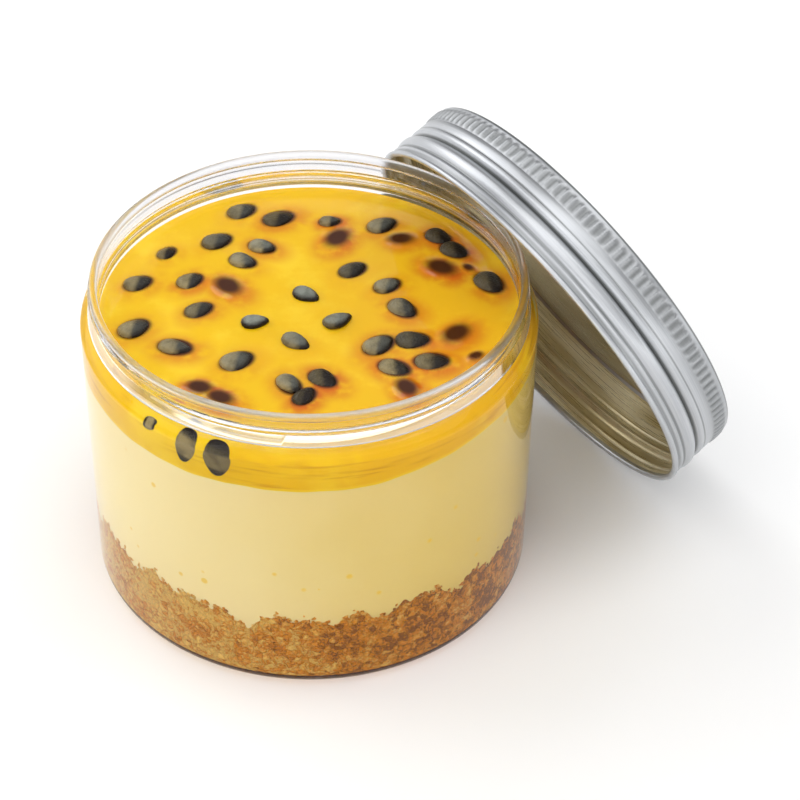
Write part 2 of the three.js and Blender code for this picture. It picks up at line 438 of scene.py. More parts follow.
def biscuit_crumb():
    material, tree, shader = finish_of(
        "biscuit_crumb", crumb_gold, 0.85, Specular_IOR_Level=0.1
    )
    place = object_place(tree)
    swirl = node(tree, "TexNoise", {"Vector": place, "Scale": crumb_swirls, "Detail": 4.0})
    shift = node(tree, "VectorMath", {0: swirl.outputs["Color"], "Scale": crumb_bend},
                 operation="SCALE").outputs[0]
    bent = node(tree, "VectorMath", {0: place, 1: shift}, operation="ADD").outputs[0]
    tone = tones(tree, cells(tree, bent, crumb_cells)["Color"])[0]
    fines = cells(tree, bent, crumb_fines)
    fine_tone = tones(tree, fines["Color"])[1]
    clumps = spread(tree, grain(tree, place, crumb_clumps, 4.0, 0.6), 0.35, 0.65)
    tone_and_side_light = maths(tree, "ADD", maths(tree, "MULTIPLY", tone, 0.45),
                  maths(tree, "MULTIPLY", fine_tone, 0.3))
    tone_and_side_light = maths(tree, "ADD", tone_and_side_light, maths(tree, "MULTIPLY", clumps, 0.3))
    # Painted light and shade: the crumb's colour is pushed lighter on the left and darker on the
    # right, as the light falls from the left.
    side = spread(tree, parts_of(tree, place)[0], -body_radius, body_radius, 0.28, -0.16)
    tone_and_side_light = maths(tree, "ADD", tone_and_side_light, side)
    dark_to_gold = between(tree, spread(tree, tone_and_side_light, 0.22, 0.5), crumb_dark, crumb_gold)
    colour = between(tree, spread(tree, tone_and_side_light, 0.52, 0.9), dark_to_gold, crumb_pale)
    # Painted shade: the colour is darkened in the gaps between the grains, where shade falls.
    gaps = cells(tree, bent, crumb_cells, feature="DISTANCE_TO_EDGE")["Distance"]
    crevice_shade = spread(tree, gaps, 0.0, 0.2, 0.84, 1.0)
    shadow = node(tree, "CombineColor", {0: crevice_shade, 1: crevice_shade, 2: crevice_shade}).outputs[0]
    colour = between(tree, 1.0, colour, shadow, "MULTIPLY")
    plug(tree, shader.inputs["Base Color"], colour)
    plug(tree, shader.inputs["Roughness"], spread(tree, tone_and_side_light, 0.2, 0.9, 0.95, 0.65))
    fine_bumps = maths(tree, "MULTIPLY", fines["Distance"], -0.6)
    bumps = maths(tree, "ADD", spread(tree, gaps, 0.0, 0.3), fine_bumps)
    plug(tree, shader.inputs["Normal"], raised(tree, bumps, crumb_relief))
    return material


crumb_base = spun("crumb_base", crumb_outline(), layer_steps)
lift_by(crumb_base, crumb_top, crag)
smooth(crumb_base, 50)
crumb_finish = biscuit_crumb()
crumb_base.data.materials.append(crumb_finish)
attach(crumb_base, "root")
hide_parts("biscuit_base")


# ---- Crumbs along the line ----
# Loose crumbs that were pushed up the wall when the cream went in. Each is a broken grain, and
# they sit against the wall along the top of the base, most of them half in the cream.
crumb_count = 420
crumb_sizes = (0.25 * mm, 0.75 * mm)
crumb_rise = 0.1 * mm
crumb_scatter = 0.55 * mm
crumb_sink = 0.55


def broken_grain(name, random_shape):
    """A round grain with its faces pushed in and out until it looks broken."""
    bpy.ops.object.select_all(action="DESELECT")
    bpy.ops.mesh.primitive_ico_sphere_add(subdivisions=2, radius=1)
    piece = bpy.context.object
    piece.name = piece.data.name = name
    points = places(piece)
    for i, point in enumerate(points):
        bulge = noise.noise(Vector(point) * 1.3 + Vector((random_shape, 0, 0)))
        points[i] = point * (1 + 0.7 * bulge)
    put_places(piece, points)
    return piece


def copy_of(model):
    copy = model.copy()
    copy.data = copy.data.copy()
    bpy.context.scene.collection.objects.link(copy)
    return copy


def joined(name, copies):
    """Copies that each have their place and turn made one piece, with its place in its mesh."""
    bpy.ops.object.select_all(action="DESELECT")
    for copy in copies:
        copy.select_set(True)
    bpy.context.view_layer.objects.active = copies[0]
    bpy.ops.object.transform_apply(location=True, rotation=True, scale=True)
    bpy.ops.object.join()
    piece = bpy.context.object
    piece.name = piece.data.name = name
    return piece


def scattered(name, models, spots):
    """Copies of the models, each with its place, turn and size, joined as one piece."""
    copies = []
    for i, (place, turn, size) in enumerate(spots):
        copy = copy_of(models[i % len(models)])
        copy.location, copy.rotation_euler, copy.scale = place, turn, size
        copies.append(copy)
    for model in models:
        bpy.data.objects.remove(model)
    return joined(name, copies)


def crumb_spots():
    draw = random.Random(5)
    spots = []
    for _ in range(crumb_count):
        angle = draw.uniform(-math.pi, math.pi)
        size = draw.uniform(*crumb_sizes)
        radius = inner_wall(crumb_top) + into_wall - size * crumb_sink
        x, y = radius * math.cos(angle), radius * math.sin(angle)
        height = crumb_top + float(crag(x, y)) + draw.gauss(crumb_rise, crumb_scatter)
        turn = [draw.uniform(0, math.tau) for _ in range(3)]
        spots.append(((x, y, height), turn, [size * draw.uniform(0.8, 1.2) for _ in range(3)]))
    return spots


loose_crumbs = scattered(
    "crumbs_at_line", [broken_grain(f"grain_{i}", 7.0 * i) for i in range(4)], crumb_spots()
)
smooth(loose_crumbs, 50)
loose_crumbs.data.materials.append(crumb_finish)
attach(loose_crumbs, "root")


# ---- The cream ----
# Set cheesecake cream, smooth and pale yellow, poured on the crumb base. Its underside follows the
# crags, and little flecks of fruit and juice show in it here and there.
cream_low = crumb_top - 0.3 * mm
cream_top = 53.3 * mm
cream_pale = shade(250, 233, 178)
cream_shaded_deep = shade(232, 204, 115)
fleck_yellow = shade(240, 200, 60)
fleck_cells = 210.0
cream_ripple = 0.06 * mm
cream_glow = 2.5 * mm


def cream_outline():
    low_edge = inner_wall(crumb_top) + into_wall - 0.03 * mm
    high_edge = inner_wall(cream_top) + into_wall - 0.05 * mm
    return [
        *[(low_edge * share, cream_low) for share in (0, 0.4, 0.78, 0.93, 1)],
        *line((low_edge, cream_low + 4 * mm), (high_edge, cream_top), 4),
        *[(high_edge * share, cream_top) for share in (0.9, 0.5, 0)],
    ]


def side_wander(x, y):
    """How far the line between cream and jelly wanders from level: it climbs on the right."""
    reach = np.clip(np.hypot(x, y) / inner_wall(cream_top) - 0.85, 0, 0.15) / 0.15
    angle = np.arctan2(y, x)
    climb = 3.4 * np.clip(np.cos(angle), 0, 1) ** 1.5 - 1.0
    ripple = 0.16 * np.sin(7 * angle + 1) + 0.1 * np.sin(16 * angle) + 0.05 * np.sin(37 * angle)
    return reach * (climb + ripple) * mm


def cheesecake_cream():
    material, tree, shader = finish_of(
        "cheesecake_cream", cream_pale, 0.42, Specular_IOR_Level=0.15
    )
    shader.subsurface_method = "BURLEY"
    place = object_place(tree)
    clouds = grain(tree, place, 38.0, 3.0)
    across = parts_of(tree, place)[0]
    # Painted shade: the cream turns deeper and darker towards the right, away from the light, and
    # clouds make the change wander.
    clouds_and_side_shade = maths(tree, "MULTIPLY_ADD", clouds, 30 * mm, across)
    colour = between(tree, spread(tree, clouds_and_side_shade, -30 * mm, 60 * mm), cream_pale, cream_shaded_deep)
    flecks = cells(tree, place, fleck_cells)
    chosen = tones(tree, flecks["Color"])[0]
    size = spread(tree, chosen, 0.35, 1.0, 0.02, 0.2)
    fleck = spread(tree, maths(tree, "SUBTRACT", size, flecks["Distance"]), 0.0, 0.08, 0.0, 0.75)
    colour = between(tree, fleck, colour, fleck_yellow)
    plug(tree, shader.inputs["Base Color"], colour)
    plug(tree, shader.inputs["Subsurface Weight"], 0.35)
    plug(tree, shader.inputs["Subsurface Radius"], (1.0, 0.75, 0.35))
    plug(tree, shader.inputs["Subsurface Scale"], cream_glow)
    plug(tree, shader.inputs["Normal"], raised(tree, grain(tree, place, 260.0, 4.0), cream_ripple))
    return material


cream = spun("cream", cream_outline(), layer_steps)
lift_by(cream, cream_low, crag)
lift_by(cream, cream_top, side_wander)
smooth(cream, 50)
cream.data.materials.append(cheesecake_cream())
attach(cream, "root")
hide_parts("cream_layer")


# ---- The jelly ----
# Passion fruit jelly set on the cream, up into the shoulder of the jar, where it climbs the wall a
# little. The seeds stand in it: it swells round each one, and takes its brown and amber stain, the
# amber partly a painted shadow of the seed. Its colour turns darker amber to the right as painted
# shade.
jelly_top = 60.4 * mm
jelly_low = cream_top - 0.2 * mm
meniscus = 0.5 * mm
jelly_rim = 0.9 * mm
jelly_steps = 420
jelly_ring = 0.42 * mm
jelly_yellow = shade(236, 188, 22)
jelly_bright = shade(248, 212, 50)
jelly_amber_shade = shade(232, 174, 36)
amber_stain_and_shadow = shade(204, 98, 24)
jelly_streak = shade(196, 126, 22)
stain_brown = shade(70, 36, 18)
jelly_ripple = 0.12 * mm
jelly_glow = 2.0 * mm

# Each seed on or near the surface, in millimetres and degrees: x, y, length, the bearing of its
# pointed end, the height of its middle over the jelly, how amber the jelly is round it (a stain of
# pulp with a painted shadow in it), how grey its top is (dry skin with a painted sheen), and how
# light its left side is (a film of jelly with a painted highlight). Those lower than `seed_sunk`
# lie under the surface, and only their stain shows. Those higher than `stain_height` lie on it and
# leave no brown stain
seed_sunk = -1.0
stain_height = 0.3
seed_places = [
    (-10.8, -3.8, 5.7, 13, 0.5, 0.0, 1.0, 0.0),
    (-0.9, 5.2, 5.9, -29, 0.5, 0.05, 0.9, 0.0),
    (5.7, -2.9, 6.6, 39, 0.45, 0.05, 0.7, 0.3),
    (-2.4, -9.8, 6.2, -32, 0.3, 0.15, 0.5, 0.5),
    (-15.4, 33.8, 6.3, 33, 0.0, 0.3, 0.2, 0.5),
    (-7.6, 31.6, 6.8, 26, -0.1, 0.7, 0.0, 0.25),
    (-20.0, 23.3, 6.5, 33, 0.1, 0.3, 0.2, 0.3),
    (-30.1, 19.0, 4.6, 49, -0.2, 0.4, 0.0, 0.6),
    (-10.6, 21.6, 5.8, -24, 0.1, 0.7, 0.6, 0.9),
    (-14.3, 16.6, 5.8, -25, 0.1, 0.4, 0.4, 0.8),
    (-35.2, 8.6, 6.1, 33, 0.1, 0.5, 0.1, 0.6),
    (-24.7, 9.8, 5.8, 42, -0.1, 0.8, 0.1, 0.8),
    (-16.9, 8.2, 6.8, -48, -1.5, 0.8, 0.0, 0.0),
    (3.2, 30.7, 4.6, 12, 0.0, 0.9, 0.2, 0.6),
    (4.9, 24.8, 7.0, 60, -1.3, 0.9, 0.0, 0.0),
    (14.1, 29.6, 6.5, 33, 0.1, 0.6, 0.3, 0.6),
    (18.0, 24.9, 5.6, 8, -1.4, 0.7, 0.0, 0.0),
    (25.9, 25.8, 5.8, -32, 0.0, 0.9, 0.0, 0.15),
    (29.1, 21.3, 6.2, -37, 0.0, 1.0, 0.0, 0.15),
    (26.4, 15.4, 6.8, -31, -1.4, 1.0, 0.0, 0.0),
    (36.2, 10.5, 7.2, -56, 0.1, 0.7, 0.05, 0.2),
    (8.3, 14.0, 6.2, 38, 0.15, 0.3, 0.1, 0.2),
    (15.5, 9.0, 6.0, 37, 0.1, 0.4, 0.4, 0.7),
    (-22.3, 0.2, 6.1, 37, 0.0, 0.6, 0.1, 0.4),
    (-34.8, -6.0, 6.9, 44, 0.1, 0.5, 0.2, 0.9),
    (-26.2, -11.8, 6.8, -14, 0.0, 0.7, 0.2, 0.7),
    (-13.8, -15.9, 7.0, 36, 0.15, 0.4, 0.3, 0.7),
    (-20.6, -24.2, 5.6, -16, -1.5, 1.0, 0.0, 0.0),
    (-16.4, -27.2, 5.8, -28, -1.3, 1.0, 0.0, 0.0),
    (-3.2, -22.9, 6.2, -58, 0.25, 0.6, 0.4, 0.7),
    (-0.2, -26.4, 5.6, 55, 0.1, 1.0, 0.0, 0.1),
    (3.2, -20.9, 6.2, -39, -0.1, 1.0, 0.0, 0.2),
    (18.6, 1.5, 6.6, -45, 0.1, 0.7, 0.2, 0.5),
    (14.0, -10.2, 7.0, 44, 0.1, 0.7, 0.3, 0.7),
    (20.7, -8.6, 6.8, 6, 0.1, 0.8, 0.1, 0.15),
    (29.4, -6.4, 6.8, 50, -1.3, 0.8, 0.0, 0.0),
    (24.5, -15.1, 6.9, 3, -0.1, 0.9, 0.05, 0.4),
    (17.2, -17.3, 6.6, -26, -0.1, 1.0, 0.1, 0.7),
    (19.6, -23.4, 5.8, -60, -1.5, 1.0, 0.0, 0.0),
    (33.2, -13.4, 3.4, 36, -1.4, 0.7, 0.0, 0.0),
    (32.0, 15.4, 2.8, -50, -1.5, 0.9, 0.0, 0.0),
]
seed_width_share = 0.7
seed_thickness = 2.3 * mm
wall_seed_bulge = 0.5 * mm

# Round a seed: how far the jelly's swell and its brown and amber stains reach, and how wide their
# soft edges are, in half lengths of the seed, and how high the swell is, in millimetres. Of two
# values the second is for a sunk seed
swell_reach = 1.7
swell_heights = (0.15, 0.4)
stain_reaches = (1.3, 1.45)
stain_fades = (0.35, 0.9)
amber_reach, amber_fade = 2.9, 2.1
# The amber round a seed is shifted to its lower right: there it is a painted shadow of the seed,
# tinted like the pulp.
amber_shadow_shift = (0.5 * mm, -0.7 * mm)


def jelly_outline():
    side = inner_wall(cream_top) + into_wall
    neck = mouth_radius + into_wall
    shoulder = [(r + into_wall, z) for r, z in inner_shoulder(8) if z < jelly_top]
    rings = int((neck - 2 * mm) / jelly_ring)
    inwards = [(neck - 2 * mm) * (1 - i / rings) for i in range(rings + 1)]
    return [
        *[(side * share, jelly_low) for share in (0, 0.5, 0.85, 0.93, 1)],
        (side, jelly_low + jelly_rim),
        *shoulder,
        (neck, jelly_top + meniscus),
        (neck - 0.5 * mm, jelly_top + meniscus * 0.55),
        (neck - 1.1 * mm, jelly_top + meniscus * 0.2),
        *[(radius, jelly_top) for radius in inwards],
    ]


def keep(piece, name, values):
    """Stores a value for each point of a mesh, for a material to read."""
    attribute = piece.data.attributes.new(name, "FLOAT", "POINT")
    attribute.data.foreach_set("value", np.asarray(values, np.float32))


def kept(tree, name):
    """The value that a mesh stores under a name."""
    return node(tree, "Attribute", {}, attribute_name=name).outputs["Fac"]


def shape_round_seeds(piece):
    """Swells the jelly's top round the seeds, and keeps their stains, with a painted shadow, as
    attributes on the mesh.
    """
    points = places(piece)
    x, y, z = points.T
    top = z > jelly_top - 0.05 * mm
    swell, stain, amber_and_shadow = (np.zeros(len(points)) for _ in range(3))
    for seed_x, seed_y, length, bearing, height, warmth, _, _ in seed_places:
        turn = math.radians(bearing)
        half = length * mm / 2

        def away(shift_x, shift_y):
            along_x, along_y = x - seed_x * mm - shift_x, y - seed_y * mm - shift_y
            u = along_x * math.cos(turn) + along_y * math.sin(turn)
            v = -along_x * math.sin(turn) + along_y * math.cos(turn)
            return np.hypot(u / half, v / (half * seed_width_share))

        near = away(0, 0)
        sunk = int(height < seed_sunk)
        swell = np.maximum(swell, ease(swell_reach - near) * swell_heights[sunk])
        edge = ease((stain_reaches[sunk] - near) / stain_fades[sunk])
        stain = np.maximum(stain, edge * (height < stain_height))
        halo_and_shadow = ease((amber_reach - away(*amber_shadow_shift)) / amber_fade)
        amber_and_shadow = np.maximum(amber_and_shadow, halo_and_shadow * warmth)
    swell += 0.1 * np.sin(x / (7 * mm) + 1) * np.sin(y / (9 * mm))
    points[top, 2] += swell[top] * ease((mouth_radius - np.hypot(x, y)) / (4 * mm))[top] * mm
    put_places(piece, points)
    keep(piece, "stain", stain * top)
    keep(piece, "amber_and_shadow", amber_and_shadow * top)


def fruit_jelly():
    material, tree, shader = finish_of(
        "fruit_jelly", jelly_yellow, 0.3, Specular_IOR_Level=0.0, Coat_Roughness=0.1
    )
    shader.subsurface_method = "BURLEY"
    place = object_place(tree)
    across, _, up = parts_of(tree, place)
    plug(tree, shader.inputs["Coat Weight"],
         spread(tree, up, jelly_top - 0.5 * mm, jelly_top - 0.2 * mm))
    # Painted shade: the jelly turns darker amber towards the right, away from the light.
    right = spread(tree, maths(tree, "MULTIPLY_ADD", grain(tree, place, 30.0), 40 * mm, across),
                   0.0, 60 * mm, 0.0, 0.75)
    colour = between(tree, right, jelly_yellow, jelly_amber_shade)
    clouds = spread(tree, grain(tree, place, 60.0, 5.0, 0.6), 0.48, 0.66, 0.0, 0.6)
    colour = between(tree, clouds, colour, jelly_bright)
    drawn = stretched(tree, place, (0.16, 0.16, 2.6))
    streaks = spread(tree, grain(tree, drawn, 300.0, 3.0, 0.6), 0.52, 0.68, 0.0, 0.55)
    side = spread(tree, up, jelly_top - mm, jelly_top - 0.4 * mm, 1.0, 0.0)
    colour = between(tree, maths(tree, "MULTIPLY", streaks, side), colour, jelly_streak)
    colour = between(tree, kept(tree, "rim"), colour, jelly_bright)
    patches = spread(tree, grain(tree, place, 240.0), 0.2, 0.6)
    # The seeds' amber stain of pulp, with the painted shadow that lies in it.
    ragged = maths(tree, "MULTIPLY", kept(tree, "amber_and_shadow"), patches)
    colour = between(tree, ragged, colour, amber_stain_and_shadow)
    colour = between(tree, kept(tree, "stain"), colour, stain_brown)
    plug(tree, shader.inputs["Base Color"], colour)
    plug(tree, shader.inputs["Subsurface Weight"], 0.4)
    plug(tree, shader.inputs["Subsurface Radius"], (1.0, 0.6, 0.12))
    plug(tree, shader.inputs["Subsurface Scale"], jelly_glow)
    plug(tree, shader.inputs["Normal"], raised(tree, grain(tree, place, 120.0), jelly_ripple))
    return material


jelly = spun("jelly", jelly_outline(), jelly_steps)
keep(jelly, "rim", places(jelly)[:, 2] < jelly_low + 0.5 * mm)
lift_by(jelly, jelly_low, side_wander)
lift_by(jelly, jelly_low + jelly_rim, side_wander)
shape_round_seeds(jelly)
smooth(jelly, 60)
jelly.data.materials.append(fruit_jelly())
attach(jelly, "root")
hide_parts("passion_fruit_jelly")


# ---- The seeds ----
# Flat drop-shaped seeds with a pitted, nearly black skin. A few lie on the jelly, most stand in
# its surface, and some that sank along the wall show through the jar.
seed_black = shade(24, 16, 11)
seed_grey_sheen = shade(138, 142, 132)
seed_veil_and_highlight = shade(150, 134, 92)

# Seeds against the wall: the bearing from the jar's middle, the height in millimetres, the turn
# on the wall in degrees, the length and width in millimetres, and how veiled they are
wall_seeds = [
    (-111.4, 56.9, -94, 7.2, 5.7, 0.6),
    (-120.2, 57.5, -102, 7.0, 4.4, 0.95),
    (-131.4, 58.8, 12, 3.2, 1.6, 1.0),
]


def seed_model():
    """One seed 1 long, 1 wide and 1 thick, with its narrow end to +X and a pitted skin."""
    bpy.ops.object.select_all(action="DESELECT")
    bpy.ops.mesh.primitive_uv_sphere_add(segments=20, ring_count=14, radius=0.5)
    seed = bpy.context.object
    seed.rotation_euler = (0, math.pi / 2, 0)
    bpy.ops.object.transform_apply(location=False, rotation=True, scale=False)
    drop = seed.modifiers.new("drop", "SIMPLE_DEFORM")
    drop.deform_method, drop.deform_axis, drop.factor = "TAPER", "X", -0.5
    bpy.ops.object.modifier_apply(modifier="drop")
    points = places(seed)
    for i, point in enumerate(points):
        pit = noise.noise(Vector(point) * 9)
        points[i] = point * (1 + 0.05 * pit)
    put_places(seed, points)
    return seed


def seed_spots():
    """Each seed's place, turn and size, its top's dry grey and painted sheen, its veil and painted
    highlight.
    """
    draw = random.Random(3)
    spots = []
    for x, y, length, bearing, height, _, dry_and_sheen, film_and_highlight in seed_places:
        tip, roll, fat = draw.uniform(-9, 9), draw.uniform(-4, 6), draw.uniform(0.94, 1.06)
        if height < seed_sunk:
            continue
        turn = [math.radians(angle) for angle in (tip, roll, bearing)]
        size = (length * mm, length * seed_width_share * fat * mm, seed_thickness)
        spots.append(((x * mm, y * mm, jelly_top + height * mm), turn, size, dry_and_sheen, film_and_highlight))
    return spots


def lay_on_wall(seed, bearing, height, slant, length, width):
    """Presses a seed flat on the jelly's side, so that it follows the inside of the jar."""
    along, across, out = (places(seed) * (length * mm, width * mm, wall_seed_bulge)).T
    turn = math.radians(slant)
    sideways = along * math.cos(turn) - across * math.sin(turn)
    z = height * mm + along * math.sin(turn) + across * math.cos(turn)
    side = [(r, h) for r, h in jelly_outline() if r > mouth_radius and h > jelly_low]
    heights, radii = [h for _, h in side], [r for r, _ in side]
    radius = np.interp(z, heights, radii) + out
    angle = math.radians(bearing) + sideways / body_radius
    put_places(seed, np.column_stack([radius * np.cos(angle), radius * np.sin(angle), z]))


def set_seeds(model):
    copies = []
    shape = places(model)
    for place, turn, size, dry_and_sheen, film_and_highlight in seed_spots():
        copy = copy_of(model)
        copy.location, copy.rotation_euler, copy.scale = place, turn, size
        across = shape[:, 0] * math.cos(turn[2]) - shape[:, 1] * math.sin(turn[2])
        # Painted highlight as well as a film of jelly: the seed's left side is drawn lighter, as
        # the light falls from the left.
        keep(copy, "film_and_highlight", min(film_and_highlight * 1.3, 1) * ease(0.5 - 6 * across))
        # Painted sheen as well as dry skin: the top of each seed is drawn greyer.
        keep(copy, "dry_and_sheen", dry_and_sheen * ease((shape[:, 2] - 0.22) / 0.16))
        copies.append(copy)
    for *spot, film_and_highlight in wall_seeds:
        copy = copy_of(model)
        lay_on_wall(copy, *spot)
        keep(copy, "film_and_highlight", film_and_highlight * ease((0.34 - np.abs(shape[:, 0])) / 0.12))
        keep(copy, "dry_and_sheen", np.zeros(len(shape)))
        copies.append(copy)
    bpy.data.objects.remove(model)
    return joined("seeds", copies)


def seed_skin():
    material, tree, shader = finish_of("seed_skin", seed_black, 0.38)
    place = object_place(tree)
    mottle = spread(tree, grain(tree, place, 420.0, 3.0), 0.3, 0.6, 0.55, 1.0)
    # The grey top is dry skin with a painted sheen.
    dry_and_sheen = maths(tree, "MULTIPLY", kept(tree, "dry_and_sheen"), mottle)
    # The lighter left side is a film of jelly with a painted highlight.
    film_and_highlight = maths(tree, "MULTIPLY", kept(tree, "film_and_highlight"), mottle)
    colour = between(tree, film_and_highlight, seed_black, seed_veil_and_highlight)
    plug(tree, shader.inputs["Base Color"], between(tree, dry_and_sheen, colour, seed_grey_sheen))
    plug(tree, shader.inputs["Roughness"], spread(tree, dry_and_sheen, 0.0, 1.0, 0.35, 0.6))
    plug(tree, shader.inputs["Specular IOR Level"], 0.25)
    pits = cells(tree, place, 2300.0)["Distance"]
    plug(tree, shader.inputs["Normal"], raised(tree, pits, 0.12 * mm))
    return material


seeds = set_seeds(seed_model())
smooth(seeds, 60)
seeds.data.materials.append(seed_skin())
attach(seeds, "root")


# ---- The lid ----
# A screw lid pressed from thin aluminium sheet: a rolled rim, beads and a groove pressed round the
# skirt, a band of short upright ridges for grip, and a flat plate with a sunk middle. It stands on
# its rim and leans on the jar, open side towards it.
lid_wall = 45.1 * mm
lid_height = 16 * mm
lid_sheet = 0.4 * mm
rim_ring = 44.85 * mm
rim_bead = 0.65 * mm
plate_edge = 0.8 * mm
panel_radius = 40.5 * mm
panel_depth = 0.3 * mm
ridge_count = 126
ridge_low, ridge_high = 11.4 * mm, 14.9 * mm
ridge_depth = 0.36 * mm
grip_root = lid_wall - 0.1 * mm
lid_steps = ridge_count * 8
sheet_grey = shade(184, 187, 191)
sheet_light = shade(198, 200, 203)
sheet_shade = shade(88, 90, 88)

lid_lean = math.radians(24)
lid_facing = math.radians(216.7)
lid_bearing = math.radians(27.1)
lid_reach = 50.8 * mm

# How far the skirt stands out or in at heights over the rim's edge, in millimetres: the recess
# over the rim, a fine ridge, the wide bead, the deep groove, a low band with a line over it
skirt_relief = [
    (1.35, -0.22), (2.0, -0.2), (2.5, 0.08), (3.0, -0.22), (3.35, -0.18), (3.9, 0.2),
    (4.8, 0.4), (5.7, 0.25), (6.3, -0.25), (6.85, -0.66), (7.3, -0.25), (7.8, 0.1),
    (8.5, 0.08), (8.9, -0.08), (9.3, 0.04), (11.1, 0.0),
]

# Bands of painted shade where the skirt is hollow or ridged, as the grooves and the grip band look
# darker: from and to, over the rim's edge in millimetres, and how dark
groove_shade_bands = [
    (1.1, 2.3, 0.5), (2.7, 3.6, 0.6), (6.2, 7.4, 0.85), (8.6, 9.2, 0.4), (9.4, 16.4, 0.3),
    (15.3, 16.1, 0.7),
]


def soft_line(points, steps):
    """A smooth line through the points, with some steps between each two."""
    made = []
    for i in range(len(points) - 1):
        before, start, end, after = (
            points[max(i - 1, 0)], points[i], points[i + 1], points[min(i + 2, len(points) - 1)]
        )
        for step in range(steps):
            t = step / steps
            made.append(tuple(
                0.5 * (2 * b + (c - a) * t + (2 * a - 5 * b + 4 * c - d) * t * t
                       + (3 * b - a - 3 * c + d) * t ** 3)
                for a, b, c, d in zip(before, start, end, after)
            ))
    return made + [points[-1]]


def skirt(inset, steps):
    """The skirt's section from the rim up, set in from the outside by a thickness."""
    points = [(lid_wall + out * mm - inset, h * mm - rim_bead) for h, out in skirt_relief]
    return soft_line(points, steps)


def shell_outline():
    """The lid's section, with the middle of its rim at height 0 and its plate at the top."""
    plate = lid_height - rim_bead
    panel = plate - panel_depth
    grip_low, grip_high = ridge_low - rim_bead, ridge_high - rim_bead
    return [
        (0, panel - lid_sheet),
        (panel_radius - 0.3 * mm, panel - lid_sheet),
        (panel_radius + 0.6 * mm, plate - lid_sheet),
        (lid_wall - lid_sheet - plate_edge, plate - lid_sheet),
        (lid_wall - lid_sheet, plate - lid_sheet - plate_edge),
        *reversed(skirt(lid_sheet, 2)),
        *arc(rim_ring, 0, rim_bead, 165, 405, 12),
        *skirt(0, 2),
        (grip_root, grip_low - 0.15 * mm),
        *line((grip_root, grip_low), (grip_root, grip_high), 7),
        *arc(grip_root - plate_edge, plate - plate_edge, plate_edge, 0, 90, 5),
        (panel_radius + 0.9 * mm, plate),
        (panel_radius + 0.3 * mm, plate - 0.06 * mm),
        (panel_radius - 0.3 * mm, panel + 0.04 * mm),
        (panel_radius - 0.9 * mm, panel),
        (panel_radius * 0.5, panel),
        (0, panel),
    ]


def ridge_weights(points):
    """How high the grip ridges stand at each point, and how much painted shade lies in the hollows
    between, 0 to 1.
    """
    x, y, z = points.T
    outside = np.hypot(x, y) > lid_wall - 0.15 * mm
    low, high = ridge_low - rim_bead, ridge_high - rim_bead
    band = ease((z - low + 0.01 * mm) / (0.7 * mm)) * ease((high + 0.01 * mm - z) / (0.7 * mm))
    wave = 0.5 + 0.5 * np.cos(np.arctan2(y, x) * ridge_count)
    return wave ** 1.3 * band * outside, (1 - wave) * band * outside


def stand_lid(piece):
    """Turns a piece that was made upright round the Z axis into the leaning lid's place, and gives
    that place and turn."""
    top = Vector((
        -math.cos(lid_facing) * math.cos(lid_lean),
        -math.sin(lid_facing) * math.cos(lid_lean),
        math.sin(lid_lean),
    ))
    piece.rotation_euler = Vector((0, 0, 1)).rotation_difference(top).to_euler()
    piece.location = (
        lid_reach * math.cos(lid_bearing),
        lid_reach * math.sin(lid_bearing),
        rim_ring * math.cos(lid_lean) + rim_bead,
    )
    spot = piece.location.copy(), piece.rotation_euler.copy()
    bpy.ops.object.select_all(action="DESELECT")
    piece.select_set(True)
    bpy.context.view_layer.objects.active = piece
    bpy.ops.object.transform_apply(location=True, rotation=True, scale=True)
    return spot


def lid_place(tree, spot):
    """Where a point is in the lid's own frame, with the lid upright round the Z axis."""
    inputs = {"Vector": object_place(tree), "Location": spot[0], "Rotation": spot[1]}
    return node(tree, "Mapping", inputs, vector_type="TEXTURE").outputs[0]


def rolling_lines(tree, place):
    """Fine lines drawn round the metal as it was spun, from 0 to 1."""
    drawn = stretched(tree, place, (0.05, 0.05, 3.0))
    flat = stretched(tree, place, (1.8, 1.8, 0.0))
    reach = node(tree, "VectorMath", {0: flat}, operation="LENGTH").outputs["Value"]
    outwards = node(tree, "CombineXYZ", {0: reach}).outputs[0]
    rings = node(tree, "VectorMath", {0: drawn, 1: outwards}, operation="ADD").outputs[0]
    return grain(tree, rings, 1500.0, 3.0, 0.6)


def bare_aluminium(spot):
    material, tree, shader = finish_of("bare_aluminium", sheet_grey, 0.3, Metallic=1.0)
    place = lid_place(tree, spot)
    lines = rolling_lines(tree, place)
    haze = marks(tree, place, 70.0)
    rough = maths(tree, "ADD", spread(tree, lines, 0.3, 0.7, 0.33, 0.4),
                  maths(tree, "MULTIPLY", haze, 0.12))
    plug(tree, shader.inputs["Roughness"], rough)
    colour = between(tree, spread(tree, lines, 0.3, 0.7), sheet_grey, sheet_light)
    up = parts_of(tree, place)[2]
    # Painted shade: the skirt's grooves, the grip band and the plate edge are darkened in the
    # colour.
    for low, high, depth in groove_shade_bands:
        middle, half = (low + high) * mm / 2 - rim_bead, (high - low) * mm / 2
        away = maths(tree, "ABSOLUTE", maths(tree, "SUBTRACT", up, middle))
        colour = between(tree, spread(tree, away, half * 0.3, half, depth, 0.0), colour, sheet_shade)
    # Painted shade in the hollows between the grip ridges.
    valley_shade = maths(tree, "MULTIPLY", kept(tree, "valley_shade"), 0.6)
    plug(tree, shader.inputs["Base Color"], between(tree, valley_shade, colour, sheet_shade))
    plug(tree, shader.inputs["Normal"], raised(tree, lines, 0.004 * mm))
    return material


